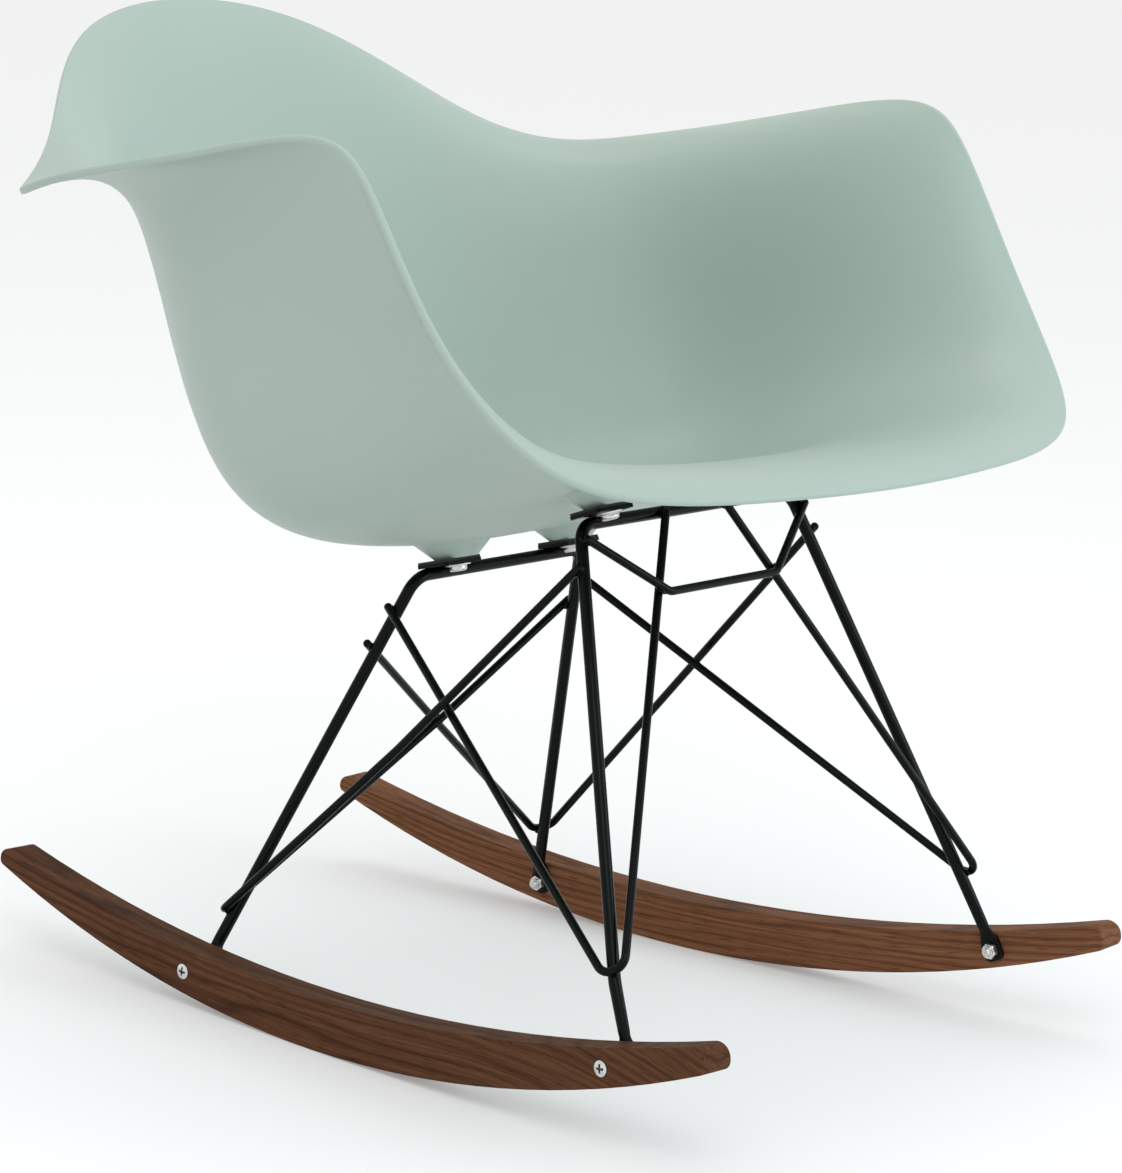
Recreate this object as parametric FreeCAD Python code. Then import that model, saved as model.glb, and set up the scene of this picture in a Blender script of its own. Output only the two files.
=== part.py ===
import FreeCAD, Part
import math
import os

# A rocking armchair: one moulded shell on a welded wire frame that is bolted to two wooden rockers.
# The sitter faces -Y, +X is the sitter's left, and the floor is Z = 0. The rockers touch it at Y = 0.
# The chair is drawn level, then turned on its rockers until its weight is over the touching line.

V = FreeCAD.Vector
SIDES = {"left": 1, "right": -1}

# Rockers: bent laminations, closer together at the back than at the front
rocker_bottom_radius = 911.0
rocker_top_radius = 1296.0
rocker_depth = 36.0
rocker_thickness = 27.0
rocker_front_reach = 328.5
rocker_rear_reach = 345.5
rocker_top_lead = 5.4
rocker_half_spacing = 218.3
rocker_toe_out = 3.9
rocker_upper_round_share = 0.55
rocker_lower_round_share = 0.34
rocker_edge_round = 1.8
rear_bolt_reach = 149.8
front_bolt_reach = 242.2

# Wires of the frame
leg_wire = 8.5
brace_wire = 5.8
weld_gap = 0.05
bar_bend = 16.0
knee_bend = 60.0
hairpin_bend = 10.5
spreader_bend = 9.0

# The seat's centre, which the bars under it and the welds on the legs are measured from
seat_centre_height = 345.0

# Rear hoop: a bar under the seat and two legs that splay down to the rockers
rear_bar_half = 89.5
rear_bar_back = 50.1
rear_bar_drop = 38.6
rear_ankle_rise = 18.0
rear_ankle_clearance = 2.0
rear_ankle_ahead = 1.5

# Front hoop: a higher and wider bar, and legs with a knee above the rockers
front_bar_half = 115.4
front_bar_back = -112.8
front_bar_rise = 21.6
front_knee_rise = 46.6
front_knee_clearance = 4.2
front_knee_behind = 22.5

# Flattened feet of both hoops
foot_thickness = 3.6
foot_width = 15.0
foot_length = 8.0
foot_taper = 12.0
foot_toe = 7.8
foot_corner = 4.5
foot_overlap = 3.0
foot_skin = 0.03

# Braces: each is one wire, bent like a hairpin round its own leg
front_hairpin_height = 83.0
rear_hairpin_height = {"left": 63.0, "right": 57.0}
rear_upper_weld_drop = 64.0
rear_lower_weld_drop = {"left": 91.0, "right": 85.0}
rear_side_bow = {"left": 0.0, "right": 11.0}
front_upper_weld_drop = 7.0
front_bar_weld_half = 32.0
brace_stub = 5.0
bar_weld_stub = 0.5

# Spreader in front of the front hoop
spreader_weld_rise = 11.0
spreader_corner_half = 59.0
spreader_corner_drop = 24.4
spreader_stub = 3.0

# Mounts: a plate on each bar, a rubber pad on the plate and a screw up into the shell
plate_length = 38.0
plate_thickness = 2.5
plate_corner = 3.0
plate_outboard = 2.5
plate_ahead_of_screw = 9.5
plate_behind_bar = 4.0
screw_forward = {"rear": 15.2, "front": 13.5}
pad_thickness = 1.8
pad_inset = 0.4
rear_mount_half = 62.5
rear_mount_slope = 14.0
front_mount_half = 99.5
front_mount_slope = 20.5

# Mount screws and the threaded inserts moulded into the shell
screw_size = 6.0
screw_clearance = 0.5
thread_clearance = 0.1
screw_flange = 18.5
screw_flange_thickness = 1.4
screw_head = 12.8
screw_head_height = 3.9
screw_head_round = 2.2
screw_socket = 4.0
screw_socket_depth = 2.6
screw_short_of_end = 1.0
insert_diameter = 9.0
insert_length = 8.0
insert_fit = 0.03

# Rocker bolts and their locking nuts
bolt_size = 6.0
bolt_clearance = 0.25
bolt_head = 12.2
bolt_head_depth = 3.3
bolt_head_dome = 1.0
bolt_recess_depth = 2.2
bolt_recess_width = 1.6
bolt_recess_span = 6.6
bolt_end = 2.2
bolt_tip_bevel = 0.7
nut_flats = 10.0
nut_height = 5.0
nut_collar = 8.4
nut_collar_height = 2.0
seat_gap = 0.05

# Shell: four lines run round the bowl, from the front of the seat to the middle of the back.
# Each point is given from the seat's centre, and the shell's surface runs smoothly near them.
shell_wall = 5.5
shell_half_width = 323.0
shell_front_reach = 294.0
shell_back_rise = 340.0
seat_slope = 20.0
seat_flat_half_width = 75.0
seat_flat_half_length = 65.0
rim_bulge = 0.62
boss_foot_radius = 15.2
boss_flare = 46.0
boss_run = 24.0
patch_reach = (0.03, 0.86)
patch_half_steps = 4.5

rim_line = [
    (0, -294, 63), (113, -290, 66), (220, -266, 67), (297, -225, 82), (321, -153, 165), (321, -102, 261),
    (322, -65, 291), (320, 61, 261), (323, 193, 236), (300, 236, 216), (219, 275, 245), (134, 356, 320),
    (0, 376, 340)]
shoulder_line = [
    (0, -259, 80), (106, -255, 79), (203, -241, 83), (267, -207, 94), (294, -145, 152), (295, -89, 221),
    (285, -25, 257), (271, 69, 247), (248, 154, 255), (214, 208, 258), (173, 267, 264), (110, 331, 305),
    (0, 347, 300)]
wall_line = [
    (0, -204, 74), (95, -202, 75), (179, -191, 81), (240, -161, 86), (271, -100, 101), (283, -40, 121),
    (292, 35, 117), (284, 104, 115), (244, 142, 130), (198, 184, 137), (157, 231, 148), (87, 263, 165),
    (0, 270, 174)]
hip_line = [
    (0, -135, 52), (70, -132, 53), (130, -119, 52), (177, -87, 43), (215, -43, 22), (232, 4, -5),
    (238, 52, -23), (221, 88, -22), (190, 114, -27), (169, 149, -38), (129, 179, -32), (68, 189, -24),
    (0, 190, -20)]

# Weight of a cubic millimetre of each material, in kilograms
plastic_weight = 1.1e-6
steel_weight = 7.85e-6
rubber_weight = 1.2e-6
brass_weight = 8.5e-6
wood_weight = 0.6e-6


def unit(vector):
    return vector * (1.0 / vector.Length)


def mirrored(shape):
    return shape.mirror(V(0, 0, 0), V(1, 0, 0))


def to_side(point, side):
    return V(side * point.x, point.y, point.z)


def at_height(start, end, height):
    share = (height - start.z) / (end.z - start.z)
    return start + (end - start) * share


# The shell's surfaces

def ring(half):
    """a closed ring of points from its half on the left side"""
    back = [V(-p.x, p.y, p.z) for p in half[-2:0:-1]]
    return half + back


def shell_rows():
    """rows of points from the seat's centre out to the rim"""
    width_share = shell_half_width / max(p[0] for p in rim_line)
    front_share = shell_front_reach / -rim_line[0][1]
    rise_share = shell_back_rise / rim_line[-1][2]
    centre = V(0, 0, seat_centre_height)
    slope = math.tan(math.radians(seat_slope))
    stations = len(rim_line)
    flat = []
    for i in range(stations):
        angle = math.pi * i / (stations - 1)
        y = -seat_flat_half_length * math.cos(angle)
        flat.append(V(seat_flat_half_width * math.sin(angle), y, seat_centre_height - slope * y))
    rows = [ring([centre] * stations), ring(flat)]
    for line in (hip_line, wall_line, shoulder_line, rim_line):
        rows.append(ring([V(x * width_share, y * front_share, seat_centre_height + z * rise_share)
                          for x, y, z in line]))
    return rows


def surface(rows):
    """a smooth surface that is closed round the bowl"""
    steps = len(rows[0])
    spans = len(rows) - 3
    knots = [i / spans for i in range(spans + 1)]
    result = Part.BSplineSurface()
    result.buildFromPolesMultsKnots(
        rows, [4] + [1] * (spans - 1) + [4], [1] * (steps + 1), knots, list(range(steps + 1)),
        False, True, 3, 3)
    return result


def row_normals(rows):
    """the direction out of the shell's underside at each point"""
    result = []
    steps = len(rows[0])
    for i, row in enumerate(rows):
        inner = rows[max(i - 1, 0)]
        outer = rows[min(i + 1, len(rows) - 1)]
        line = []
        for j in range(steps):
            around = row[(j + 1) % steps] - row[j - 1]
            outward = outer[j] - inner[j]
            normal = outward.cross(around)
            line.append(unit(normal) if normal.Length > 1e-6 else V(0, 0, 0))
        result.append(line)
    slope = math.radians(seat_slope)
    down = V(0, -math.sin(slope), -math.cos(slope))
    result[0] = [down] * steps
    if result[1][0].dot(down) < 0:
        result = [result[0]] + [[-n for n in line] for line in result[1:]]
    return result


def offset_rows(rows, normals, distance):
    return [[p + n * distance for p, n in zip(row, line)] for row, line in zip(rows, normals)]


def make_bowl(rows, normals):
    under = offset_rows(rows, normals, shell_wall)
    bulge = shell_wall * rim_bulge
    over_edge = [p + unit(p - q) * bulge for p, q in zip(rows[-1], rows[-2])]
    under_edge = [p + unit(p - q) * bulge for p, q in zip(under[-1], under[-2])]
    faces = [surface(rows), surface(under), surface([rows[-1], over_edge, under_edge, under[-1]])]
    skin = Part.Shell([face.toShape() for face in faces])
    skin.sewShape()
    bowl = Part.Solid(skin)
    if bowl.Volume < 0:
        bowl.reverse()
    return bowl


# Places of the mounts

def bar_height(end):
    return seat_centre_height + {"rear": -rear_bar_drop, "front": front_bar_rise}[end]


def mount_frame(end, side):
    """where a screw passes the underside of its plate, and how the plate lies"""
    half, back, height, slope = {
        "rear": (rear_mount_half, rear_bar_back, bar_height("rear"), rear_mount_slope),
        "front": (front_mount_half, front_bar_back, bar_height("front"), front_mount_slope)}[end]
    tilt = FreeCAD.Rotation(V(1, 0, 0), -slope)
    rise = leg_wire / 2 + weld_gap
    origin = V(side * half, back, height) + tilt.multVec(V(0, -screw_forward[end], rise))
    return FreeCAD.Placement(origin, tilt)


def placed(shape, placement):
    result = shape.copy()
    result.Placement = placement.multiply(result.Placement)
    return result


def disc(radius, height, base=0.0):
    return Part.makeCylinder(radius, height, V(0, 0, base))


def rounded_plate(length, width, thickness, corner, middle_x, middle_y, base):
    plate = Part.makeBox(length, width, thickness, V(middle_x - length / 2, middle_y - width / 2, base))
    upright = [e for e in plate.Edges if abs(e.Vertexes[0].Z - e.Vertexes[1].Z) > thickness / 2]
    return plate.makeFillet(corner, upright)


def plate_on(end, side, inset, thickness, base):
    """a rounded plate with the screw's hole, from ahead of the screw to behind the bar"""
    behind_screw = screw_forward[end] + plate_behind_bar
    plate = rounded_plate(plate_length - 2 * inset, plate_ahead_of_screw + behind_screw - 2 * inset,
                          thickness, plate_corner - inset, side * plate_outboard,
                          (behind_screw - plate_ahead_of_screw) / 2, base)
    return plate.cut(disc(screw_size / 2 + screw_clearance, thickness, base))


def make_plate(end, side):
    return plate_on(end, side, 0, plate_thickness, 0)


def make_pad(end, side):
    return plate_on(end, side, pad_inset, pad_thickness, plate_thickness)


def boss_base():
    return plate_thickness + pad_thickness


def make_insert():
    insert = disc(insert_diameter / 2 - insert_fit, insert_length, boss_base())
    return insert.cut(disc(screw_size / 2 + thread_clearance, insert_length, boss_base()))


def hexagon(across_flats, base, height):
    corner = across_flats / math.sqrt(3)
    turns = [math.radians(60 * i) for i in range(7)]
    outline = Part.makePolygon([V(corner * math.cos(a), corner * math.sin(a), base) for a in turns])
    return Part.Face(outline).extrude(V(0, 0, height))


def circle_at(shape, height):
    """the round edges of a turned shape that lie at one height"""
    return [e for e in shape.Edges if len(e.Vertexes) == 1 and abs(e.Vertexes[0].Z - height) < seat_gap]


def make_mount_screw():
    under_flange = -seat_gap - screw_flange_thickness
    tip = under_flange - screw_head_height
    flange = disc(screw_flange / 2, screw_flange_thickness, under_flange)
    head = disc(screw_head / 2, screw_head_height, tip)
    head = head.makeFillet(screw_head_round, circle_at(head, tip))
    shank = disc(screw_size / 2, boss_base() + insert_length - screw_short_of_end, -seat_gap)
    socket = hexagon(screw_socket, tip, screw_socket_depth)
    return flange.fuse([head, shank]).cut(socket).removeSplitter()


def make_boss(placement, middle):
    """a flared boss that ends inside the shell's wall"""
    top_radius = boss_foot_radius + boss_run * math.tan(math.radians(boss_flare))
    boss = placed(Part.makeCone(boss_foot_radius, top_radius, boss_run, V(0, 0, boss_base())), placement)
    u, v = middle.parameter(placement.multVec(V(0, 0, boss_base() + boss_run / 4)))
    patch = middle.toShape(*patch_reach, v - patch_half_steps, v + patch_half_steps)
    return boss.cut(patch.extrude(V(0, 0, 4 * boss_run)))


def make_shell(mounts):
    rows = shell_rows()
    normals = row_normals(rows)
    bowl = make_bowl(rows, normals)
    middle = surface(offset_rows(rows, normals, shell_wall / 2))
    for placement in mounts:
        bowl = bowl.fuse(make_boss(placement, middle))
    for placement in mounts:
        bowl = bowl.cut(placed(disc(insert_diameter / 2, insert_length, boss_base()), placement))
    return bowl


# Wires and their bends

def bent_path(points, bends):
    """straight runs joined by arcs, one bend radius for each inner point"""
    edges = []
    start = points[0]
    for before, corner, after, bend in zip(points, points[1:], points[2:], bends):
        a = unit(before - corner)
        b = unit(after - corner)
        half = a.getAngle(b) / 2
        reach = bend / math.tan(half)
        middle = corner + unit(a + b) * (bend / math.sin(half) - bend)
        edges.append(Part.LineSegment(start, corner + a * reach).toShape())
        edges.append(Part.Arc(corner + a * reach, middle, corner + b * reach).toShape())
        start = corner + b * reach
    edges.append(Part.LineSegment(start, points[-1]).toShape())
    return Part.Wire(edges)


def wire_solid(path, diameter, ends_round):
    """a round wire along a path, with softened ends"""
    first = path.Edges[0]
    start = first.Vertexes[0].Point
    away = unit(first.Vertexes[1].Point - start)
    circle = Part.Wire([Part.Circle(start, away, diameter / 2).toShape()])
    rod = path.makePipeShell([circle], True, False)
    if ends_round:
        caps = [f for f in rod.Faces if isinstance(f.Surface, Part.Plane)]
        rod = rod.makeFillet(diameter * 0.35, [edge for cap in caps for edge in cap.Edges])
    return rod


# Rockers in their own upright plane: distance along, depth from the outer face, height

def rocker_point(along, depth, height):
    toe = math.radians(rocker_toe_out)
    forward = V(-math.sin(toe), math.cos(toe), 0)
    inward = V(-math.cos(toe), -math.sin(toe), 0)
    return V(rocker_half_spacing, 0, height) + forward * along + inward * depth


def rocker_bottom(along):
    return rocker_bottom_radius - math.sqrt(rocker_bottom_radius ** 2 - along ** 2)


def rocker_top(along):
    centre = rocker_depth + rocker_top_radius
    return centre - math.sqrt(rocker_top_radius ** 2 - (along - rocker_top_lead) ** 2)


def bolt_place(end):
    along = {"rear": rear_bolt_reach, "front": -front_bolt_reach}[end]
    return along, (rocker_bottom(along) + rocker_top(along)) / 2


def bolt_frame(end):
    """the bolt's head end on the outer face, with Z pointing into the rocker"""
    along, height = bolt_place(end)
    inward = rocker_point(along, 1, height) - rocker_point(along, 0, height)
    up = V(0, 0, 1)
    turn = FreeCAD.Rotation(up.cross(inward), up, inward, "ZYX")
    return FreeCAD.Placement(rocker_point(along, 0, height), turn)


def make_rocker():
    rear = rocker_rear_reach
    front = -rocker_front_reach
    corners = [V(0, front, rocker_bottom(front)), V(0, rear, rocker_bottom(rear)),
               V(0, rear, rocker_top(rear)), V(0, front, rocker_top(front))]
    outline = Part.Wire([
        Part.Arc(corners[0], V(0, 0, 0), corners[1]).toShape(),
        Part.LineSegment(corners[1], corners[2]).toShape(),
        Part.Arc(corners[2], V(0, rocker_top_lead, rocker_depth), corners[3]).toShape(),
        Part.LineSegment(corners[3], corners[0]).toShape()])
    rocker = Part.Face(outline).extrude(V(-rocker_thickness, 0, 0))
    for corner, opposite, share in ((corners[0], corners[3], rocker_lower_round_share),
                                    (corners[1], corners[2], rocker_lower_round_share),
                                    (corners[2], corners[1], rocker_upper_round_share),
                                    (corners[3], corners[0], rocker_upper_round_share)):
        middle = corner - V(rocker_thickness / 2, 0, 0)
        edge = min(rocker.Edges, key=lambda e: (e.CenterOfMass - middle).Length)
        rocker = rocker.makeFillet(abs(corner.z - opposite.z) * share, [edge])
    around = [e for e in rocker.Edges if e.BoundBox.XLength < 0.01]
    rocker = rocker.makeFillet(rocker_edge_round, around)
    rocker.rotate(V(0, 0, 0), V(0, 0, 1), rocker_toe_out)
    rocker.translate(V(rocker_half_spacing, 0, 0))
    for end in ("rear", "front"):
        hole = disc(bolt_size / 2 + bolt_clearance, rocker_thickness)
        sink = Part.makeCone(bolt_head / 2, bolt_size / 2 + bolt_clearance, bolt_head_depth)
        rocker = rocker.cut(placed(hole.fuse(sink), bolt_frame(end)))
    return rocker


# Hoops: a bar, two legs and their flattened feet

def foot_point(end, along_foot, across_foot, depth):
    """a point of a foot: distance below its bolt, distance across it, depth from the rocker's outer face"""
    along, height = bolt_place(end)
    knee = {"rear": ankle("rear"), "front": front_knee()}[end]
    forward = rocker_point(1, 0, 0) - rocker_point(0, 0, 0)
    rise = V(0, (knee - rocker_point(along, depth, height)).dot(forward), knee.z - height)
    rise = unit(rise)
    return rocker_point(along - rise.y * along_foot - rise.z * across_foot, depth,
                        height - rise.z * along_foot + rise.y * across_foot)


def beside_rocker(end, toward_middle, clearance, rise):
    """a place for a leg inside the rocker, from its bolt"""
    along, height = bolt_place(end)
    depth = rocker_thickness + leg_wire / 2 + clearance
    return rocker_point(along + (toward_middle if along < 0 else -toward_middle), depth, height + rise)


def front_knee():
    return beside_rocker("front", front_knee_behind, front_knee_clearance, front_knee_rise)


def ankle(end):
    """where the round part of a leg ends above its foot"""
    if end == "rear":
        return beside_rocker("rear", rear_ankle_ahead, rear_ankle_clearance, rear_ankle_rise)
    middle = rocker_thickness + seat_gap + foot_thickness / 2
    joint = foot_point("front", -foot_length, 0, middle)
    return joint + unit(front_knee() - joint) * foot_taper


def hoop_points(end):
    """centre line of the left half of a hoop, from the foot up"""
    if end == "rear":
        return [ankle("rear"), V(rear_bar_half, rear_bar_back, bar_height("rear"))]
    return [ankle("front"), front_knee(), V(front_bar_half, front_bar_back, bar_height("front"))]


def hoop_path(end):
    left = hoop_points(end)
    start = left[0] + unit(left[0] - left[1]) * foot_overlap
    left = [start] + left[1:]
    points = left + [to_side(p, -1) for p in left[::-1]]
    bends = [knee_bend] * (len(left) - 2) + [bar_bend]
    return bent_path(points, bends + bends[::-1])


def make_foot(end):
    """the leg's end, pressed flat and bored for the bolt"""
    outer = rocker_thickness + seat_gap
    half = foot_width / 2
    bend = foot_corner * (1 - math.sqrt(0.5))
    spots = [(-foot_length, half), (foot_toe - foot_corner, half), (foot_toe - bend, half - bend),
             (foot_toe, half - foot_corner), (foot_toe, foot_corner - half), (foot_toe - bend, bend - half),
             (foot_toe - foot_corner, -half), (-foot_length, -half)]
    p = [foot_point(end, a, b, outer) for a, b in spots]
    outline = Part.Wire([Part.LineSegment(p[0], p[1]).toShape(), Part.Arc(p[1], p[2], p[3]).toShape(),
                         Part.LineSegment(p[3], p[4]).toShape(), Part.Arc(p[4], p[5], p[6]).toShape(),
                         Part.LineSegment(p[6], p[7]).toShape(), Part.LineSegment(p[7], p[0]).toShape()])
    inward = rocker_point(0, foot_thickness, 0) - rocker_point(0, 0, 0)
    tongue = Part.Face(outline).extrude(inward)
    middle = outer + foot_thickness / 2
    low = foot_point(end, foot_overlap - foot_length, 0, middle)
    low_side = foot_point(end, foot_overlap - foot_length, half, middle) - low
    top = ankle(end)
    rise = unit(hoop_points(end)[1] - top)
    across = unit(rise.cross(low_side.cross(rise)))
    radius = leg_wire / 2 - foot_skin
    flat = Part.Ellipse(low + low_side, low + unit(inward) * foot_thickness / 2, low)
    full = Part.Ellipse(top + across * radius, top + rise.cross(across) * (radius - foot_skin / 10), top)
    taper = Part.makeLoft([Part.Wire([flat.toShape()]), Part.Wire([full.toShape()])], True)
    return taper.fuse(tongue)


def make_hoop(end):
    hoop = wire_solid(hoop_path(end), leg_wire, False)
    foot = make_foot(end)
    hoop = hoop.fuse([foot, mirrored(foot)])
    hole = placed(disc(bolt_size / 2 + bolt_clearance, 2 * rocker_thickness), bolt_frame(end))
    return hoop.cut([hole, mirrored(hole)])


# Braces and the spreader

def touch_distance():
    return (leg_wire + brace_wire) / 2 + weld_gap


def weld_point(base, direction, side, seen_from):
    """centre of a brace that lies against a leg or bar, on the given side of it"""
    across = unit(direction.cross(base - seen_from))
    if across.dot(side) < 0:
        across = across * -1
    return base + across * touch_distance()


def past(weld, seen_from, stub):
    return weld + unit(weld - seen_from) * stub


def seated_bend(own_leg, away, start, path_for):
    """move a brace's bend towards its own leg until the brace just touches it"""
    bend = start
    for attempt in range(10):
        gap = path_for(bend).distToShape(own_leg)[0] - touch_distance()
        bend = bend - away * gap
    return bend


def front_brace_path():
    """left front brace: up to the rear leg outside it, and up to the front bar before it"""
    foot, knee, top = hoop_points("front")
    rear_low, rear_top = hoop_points("rear")
    own_leg = Part.makePolygon([foot, knee, at_height(knee, top, (knee.z + top.z) / 2)])
    away = unit(V(1, -1, 0))
    start = at_height(foot, knee, front_hairpin_height) + away * 2 * touch_distance()
    rear_base = at_height(rear_low, rear_top, seat_centre_height - rear_upper_weld_drop)
    bar_base = V(front_bar_weld_half, front_bar_back, bar_height("front"))

    def path_for(bend):
        rear_weld = weld_point(rear_base, rear_top - rear_low, V(1, 0, 0), bend)
        bar_weld = weld_point(bar_base, V(1, 0, 0), V(0, -1, 0), bend)
        ends = [past(rear_weld, bend, brace_stub), past(bar_weld, bend, bar_weld_stub)]
        return bent_path([ends[0], bend, ends[1]], [hairpin_bend])

    return path_for(seated_bend(own_leg, away, start, path_for))


def rear_brace_path(side_name):
    """a rear brace, drawn as the left one: up to the front leg outside it and across to the far rear leg"""
    low, top = hoop_points("rear")
    front_foot, knee, front_top = hoop_points("front")
    own_leg = Part.makePolygon([low, at_height(low, top, (low.z + top.z) / 2)])
    away = unit(V(1, 1, 0))
    start = at_height(low, top, rear_hairpin_height[side_name]) + away * 2 * touch_distance()
    bow_side = SIDES[side_name]
    side_base = at_height(knee, front_top, seat_centre_height - front_upper_weld_drop)
    cross_base = to_side(at_height(low, top, seat_centre_height - rear_lower_weld_drop[side_name]), -1)
    cross_leg = to_side(top - low, -1)

    def path_for(bend):
        side_weld = weld_point(side_base, front_top - knee, V(1, 0, 0), bend)
        middle = bend
        for attempt in range(2):
            cross_weld = weld_point(cross_base, cross_leg, V(0, 1, 0), middle)
            run = cross_weld - bend
            middle = bend + run * (bend.x / -run.x)
            middle = middle + unit(V(0, run.z, -run.y)) * bow_side * (brace_wire + weld_gap) / 2
        half_way = (side_weld + bend) * 0.5 - V(rear_side_bow[side_name], 0, 0)
        side_end = past(side_weld, half_way, brace_stub)
        cross_end = past(cross_weld, middle, brace_stub)
        if rear_side_bow[side_name] == 0:
            return bent_path([side_end, bend, middle, cross_end], [hairpin_bend, knee_bend])
        return bent_path([side_end, half_way, bend, middle, cross_end], [knee_bend, hairpin_bend, knee_bend])

    return path_for(seated_bend(own_leg, away, start, path_for))


def spreader_path(brace):
    """a wire from leg to leg that lies in front of both front braces"""
    foot, knee, top = hoop_points("front")
    base = at_height(knee, top, seat_centre_height + spreader_weld_rise)
    corner_height = seat_centre_height - spreader_corner_drop
    corner = V(spreader_corner_half, front_bar_back - 4 * brace_wire, corner_height)
    for attempt in range(10):
        weld = weld_point(base, top - knee, V(-1, -1, 0), corner)
        end = past(weld, corner, spreader_stub)
        path = bent_path([end, corner, to_side(corner, -1), to_side(end, -1)], [spreader_bend] * 2)
        corner = corner + V(0, path.distToShape(brace)[0] - brace_wire - weld_gap, 0)
    return path


# Bolts and nuts of the rockers

def make_bolt():
    inner_face = rocker_thickness + 2 * seat_gap + foot_thickness
    length = inner_face + nut_height + nut_collar_height + bolt_end
    shank = disc(bolt_size / 2, length)
    shank = shank.makeChamfer(bolt_tip_bevel, circle_at(shank, length))
    sink = Part.makeCone(bolt_head / 2 - seat_gap, bolt_size / 2 - seat_gap, bolt_head_depth)
    crown = disc(bolt_head / 2 - seat_gap, bolt_head_dome, -bolt_head_dome)
    crown = crown.makeFillet(bolt_head_dome * 0.9, circle_at(crown, -bolt_head_dome))
    bolt = sink.fuse([crown, shank]).removeSplitter()
    for span_x, span_y in ((bolt_recess_span, bolt_recess_width), (bolt_recess_width, bolt_recess_span)):
        bolt = bolt.cut(Part.makeBox(span_x, span_y, bolt_recess_depth,
                                     V(-span_x / 2, -span_y / 2, -bolt_head_dome)))
    return bolt


def make_nut():
    base = rocker_thickness + 2 * seat_gap + foot_thickness
    top = base + nut_height + nut_collar_height
    bevel = Part.makeCone(nut_flats / 2 + nut_height, nut_flats / 2, nut_height, V(0, 0, base))
    body = hexagon(nut_flats, base, nut_height).common(bevel)
    collar = disc(nut_collar / 2, nut_height / 2 + nut_collar_height, base + nut_height / 2)
    collar = collar.makeFillet(nut_collar_height * 0.4, circle_at(collar, top))
    return body.fuse(collar).cut(disc(bolt_size / 2 + seat_gap, nut_height + nut_collar_height, base))


# Everything in place, then turned until it balances

def build_pieces():
    pieces = []
    mounts = [(end, name, mount_frame(end, side)) for end in ("rear", "front")
              for name, side in SIDES.items()]
    pieces.append(("shell", make_shell([place for end, name, place in mounts]), plastic_weight))
    for end, name, place in mounts:
        side = SIDES[name]
        pieces.append((f"insert_{end}_{name}", placed(make_insert(), place), brass_weight))
        pieces.append((f"mount_pad_{end}_{name}", placed(make_pad(end, side), place), rubber_weight))
        pieces.append((f"mount_plate_{end}_{name}", placed(make_plate(end, side), place), steel_weight))
        pieces.append((f"mount_screw_{end}_{name}", placed(make_mount_screw(), place), steel_weight))
    pieces.append(("rear_hoop", make_hoop("rear"), steel_weight))
    pieces.append(("front_hoop", make_hoop("front"), steel_weight))
    front_path = front_brace_path()
    front_brace = wire_solid(front_path, brace_wire, True)
    pieces.append(("front_brace_left", front_brace, steel_weight))
    pieces.append(("front_brace_right", mirrored(front_brace), steel_weight))
    pieces.append(("rear_brace_left", wire_solid(rear_brace_path("left"), brace_wire, True), steel_weight))
    other = wire_solid(rear_brace_path("right"), brace_wire, True)
    pieces.append(("rear_brace_right", mirrored(other), steel_weight))
    pieces.append(("front_spreader", wire_solid(spreader_path(front_path), brace_wire, True), steel_weight))
    rocker = make_rocker()
    pieces.append(("rocker_left", rocker, wood_weight))
    pieces.append(("rocker_right", mirrored(rocker), wood_weight))
    for end in ("rear", "front"):
        bolt = placed(make_bolt(), bolt_frame(end))
        nut = placed(make_nut(), bolt_frame(end))
        for name, side in SIDES.items():
            pieces.append((f"rocker_bolt_{end}_{name}", bolt if side > 0 else mirrored(bolt), steel_weight))
            pieces.append((f"rocker_nut_{end}_{name}", nut if side > 0 else mirrored(nut), steel_weight))
    return pieces


def balance(pieces):
    """turn the whole chair about its rockers' centre until its weight is over the touching line"""
    total = sum(shape.Volume * weight for name, shape, weight in pieces)
    moment = V(0, 0, 0)
    for name, shape, weight in pieces:
        moment = moment + shape.CenterOfGravity * (shape.Volume * weight)
    centre = moment * (1 / total)
    lean = math.degrees(math.atan2(centre.y, rocker_bottom_radius - centre.z))
    pivot = V(0, 0, rocker_bottom_radius)
    turned = []
    for name, shape, weight in pieces:
        shape = shape.copy()
        shape.rotate(pivot, V(1, 0, 0), -lean)
        turned.append((name, shape))
    floor = min(shape.optimalBoundingBox(False).ZMin for name, shape in turned if name == "rocker_left")
    for name, shape in turned:
        shape.translate(V(0, 0, -floor))
    print(f"weight {total:.2f} kg, centre {centre.y:.1f} {centre.z:.1f} mm, lean {lean:.3f} degrees")
    return turned


def main():
    os.makedirs("parts", exist_ok=True)
    box = FreeCAD.BoundBox()
    for name, shape in balance(build_pieces()):
        if not shape.isValid():
            print("not valid:", name)
        shape.exportStep(f"parts/{name}.step")
        box.add(shape.optimalBoundingBox(False))
    print(f"size {box.XLength:.1f} x {box.YLength:.1f} x {box.ZLength:.1f} mm, "
          f"y {box.YMin:.1f} to {box.YMax:.1f}, z {box.ZMin:.1f} to {box.ZMax:.1f}")


main()
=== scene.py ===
import math

import bpy
import numpy as np
from mathutils import Matrix, Vector
from mathutils.bvhtree import BVHTree


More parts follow.
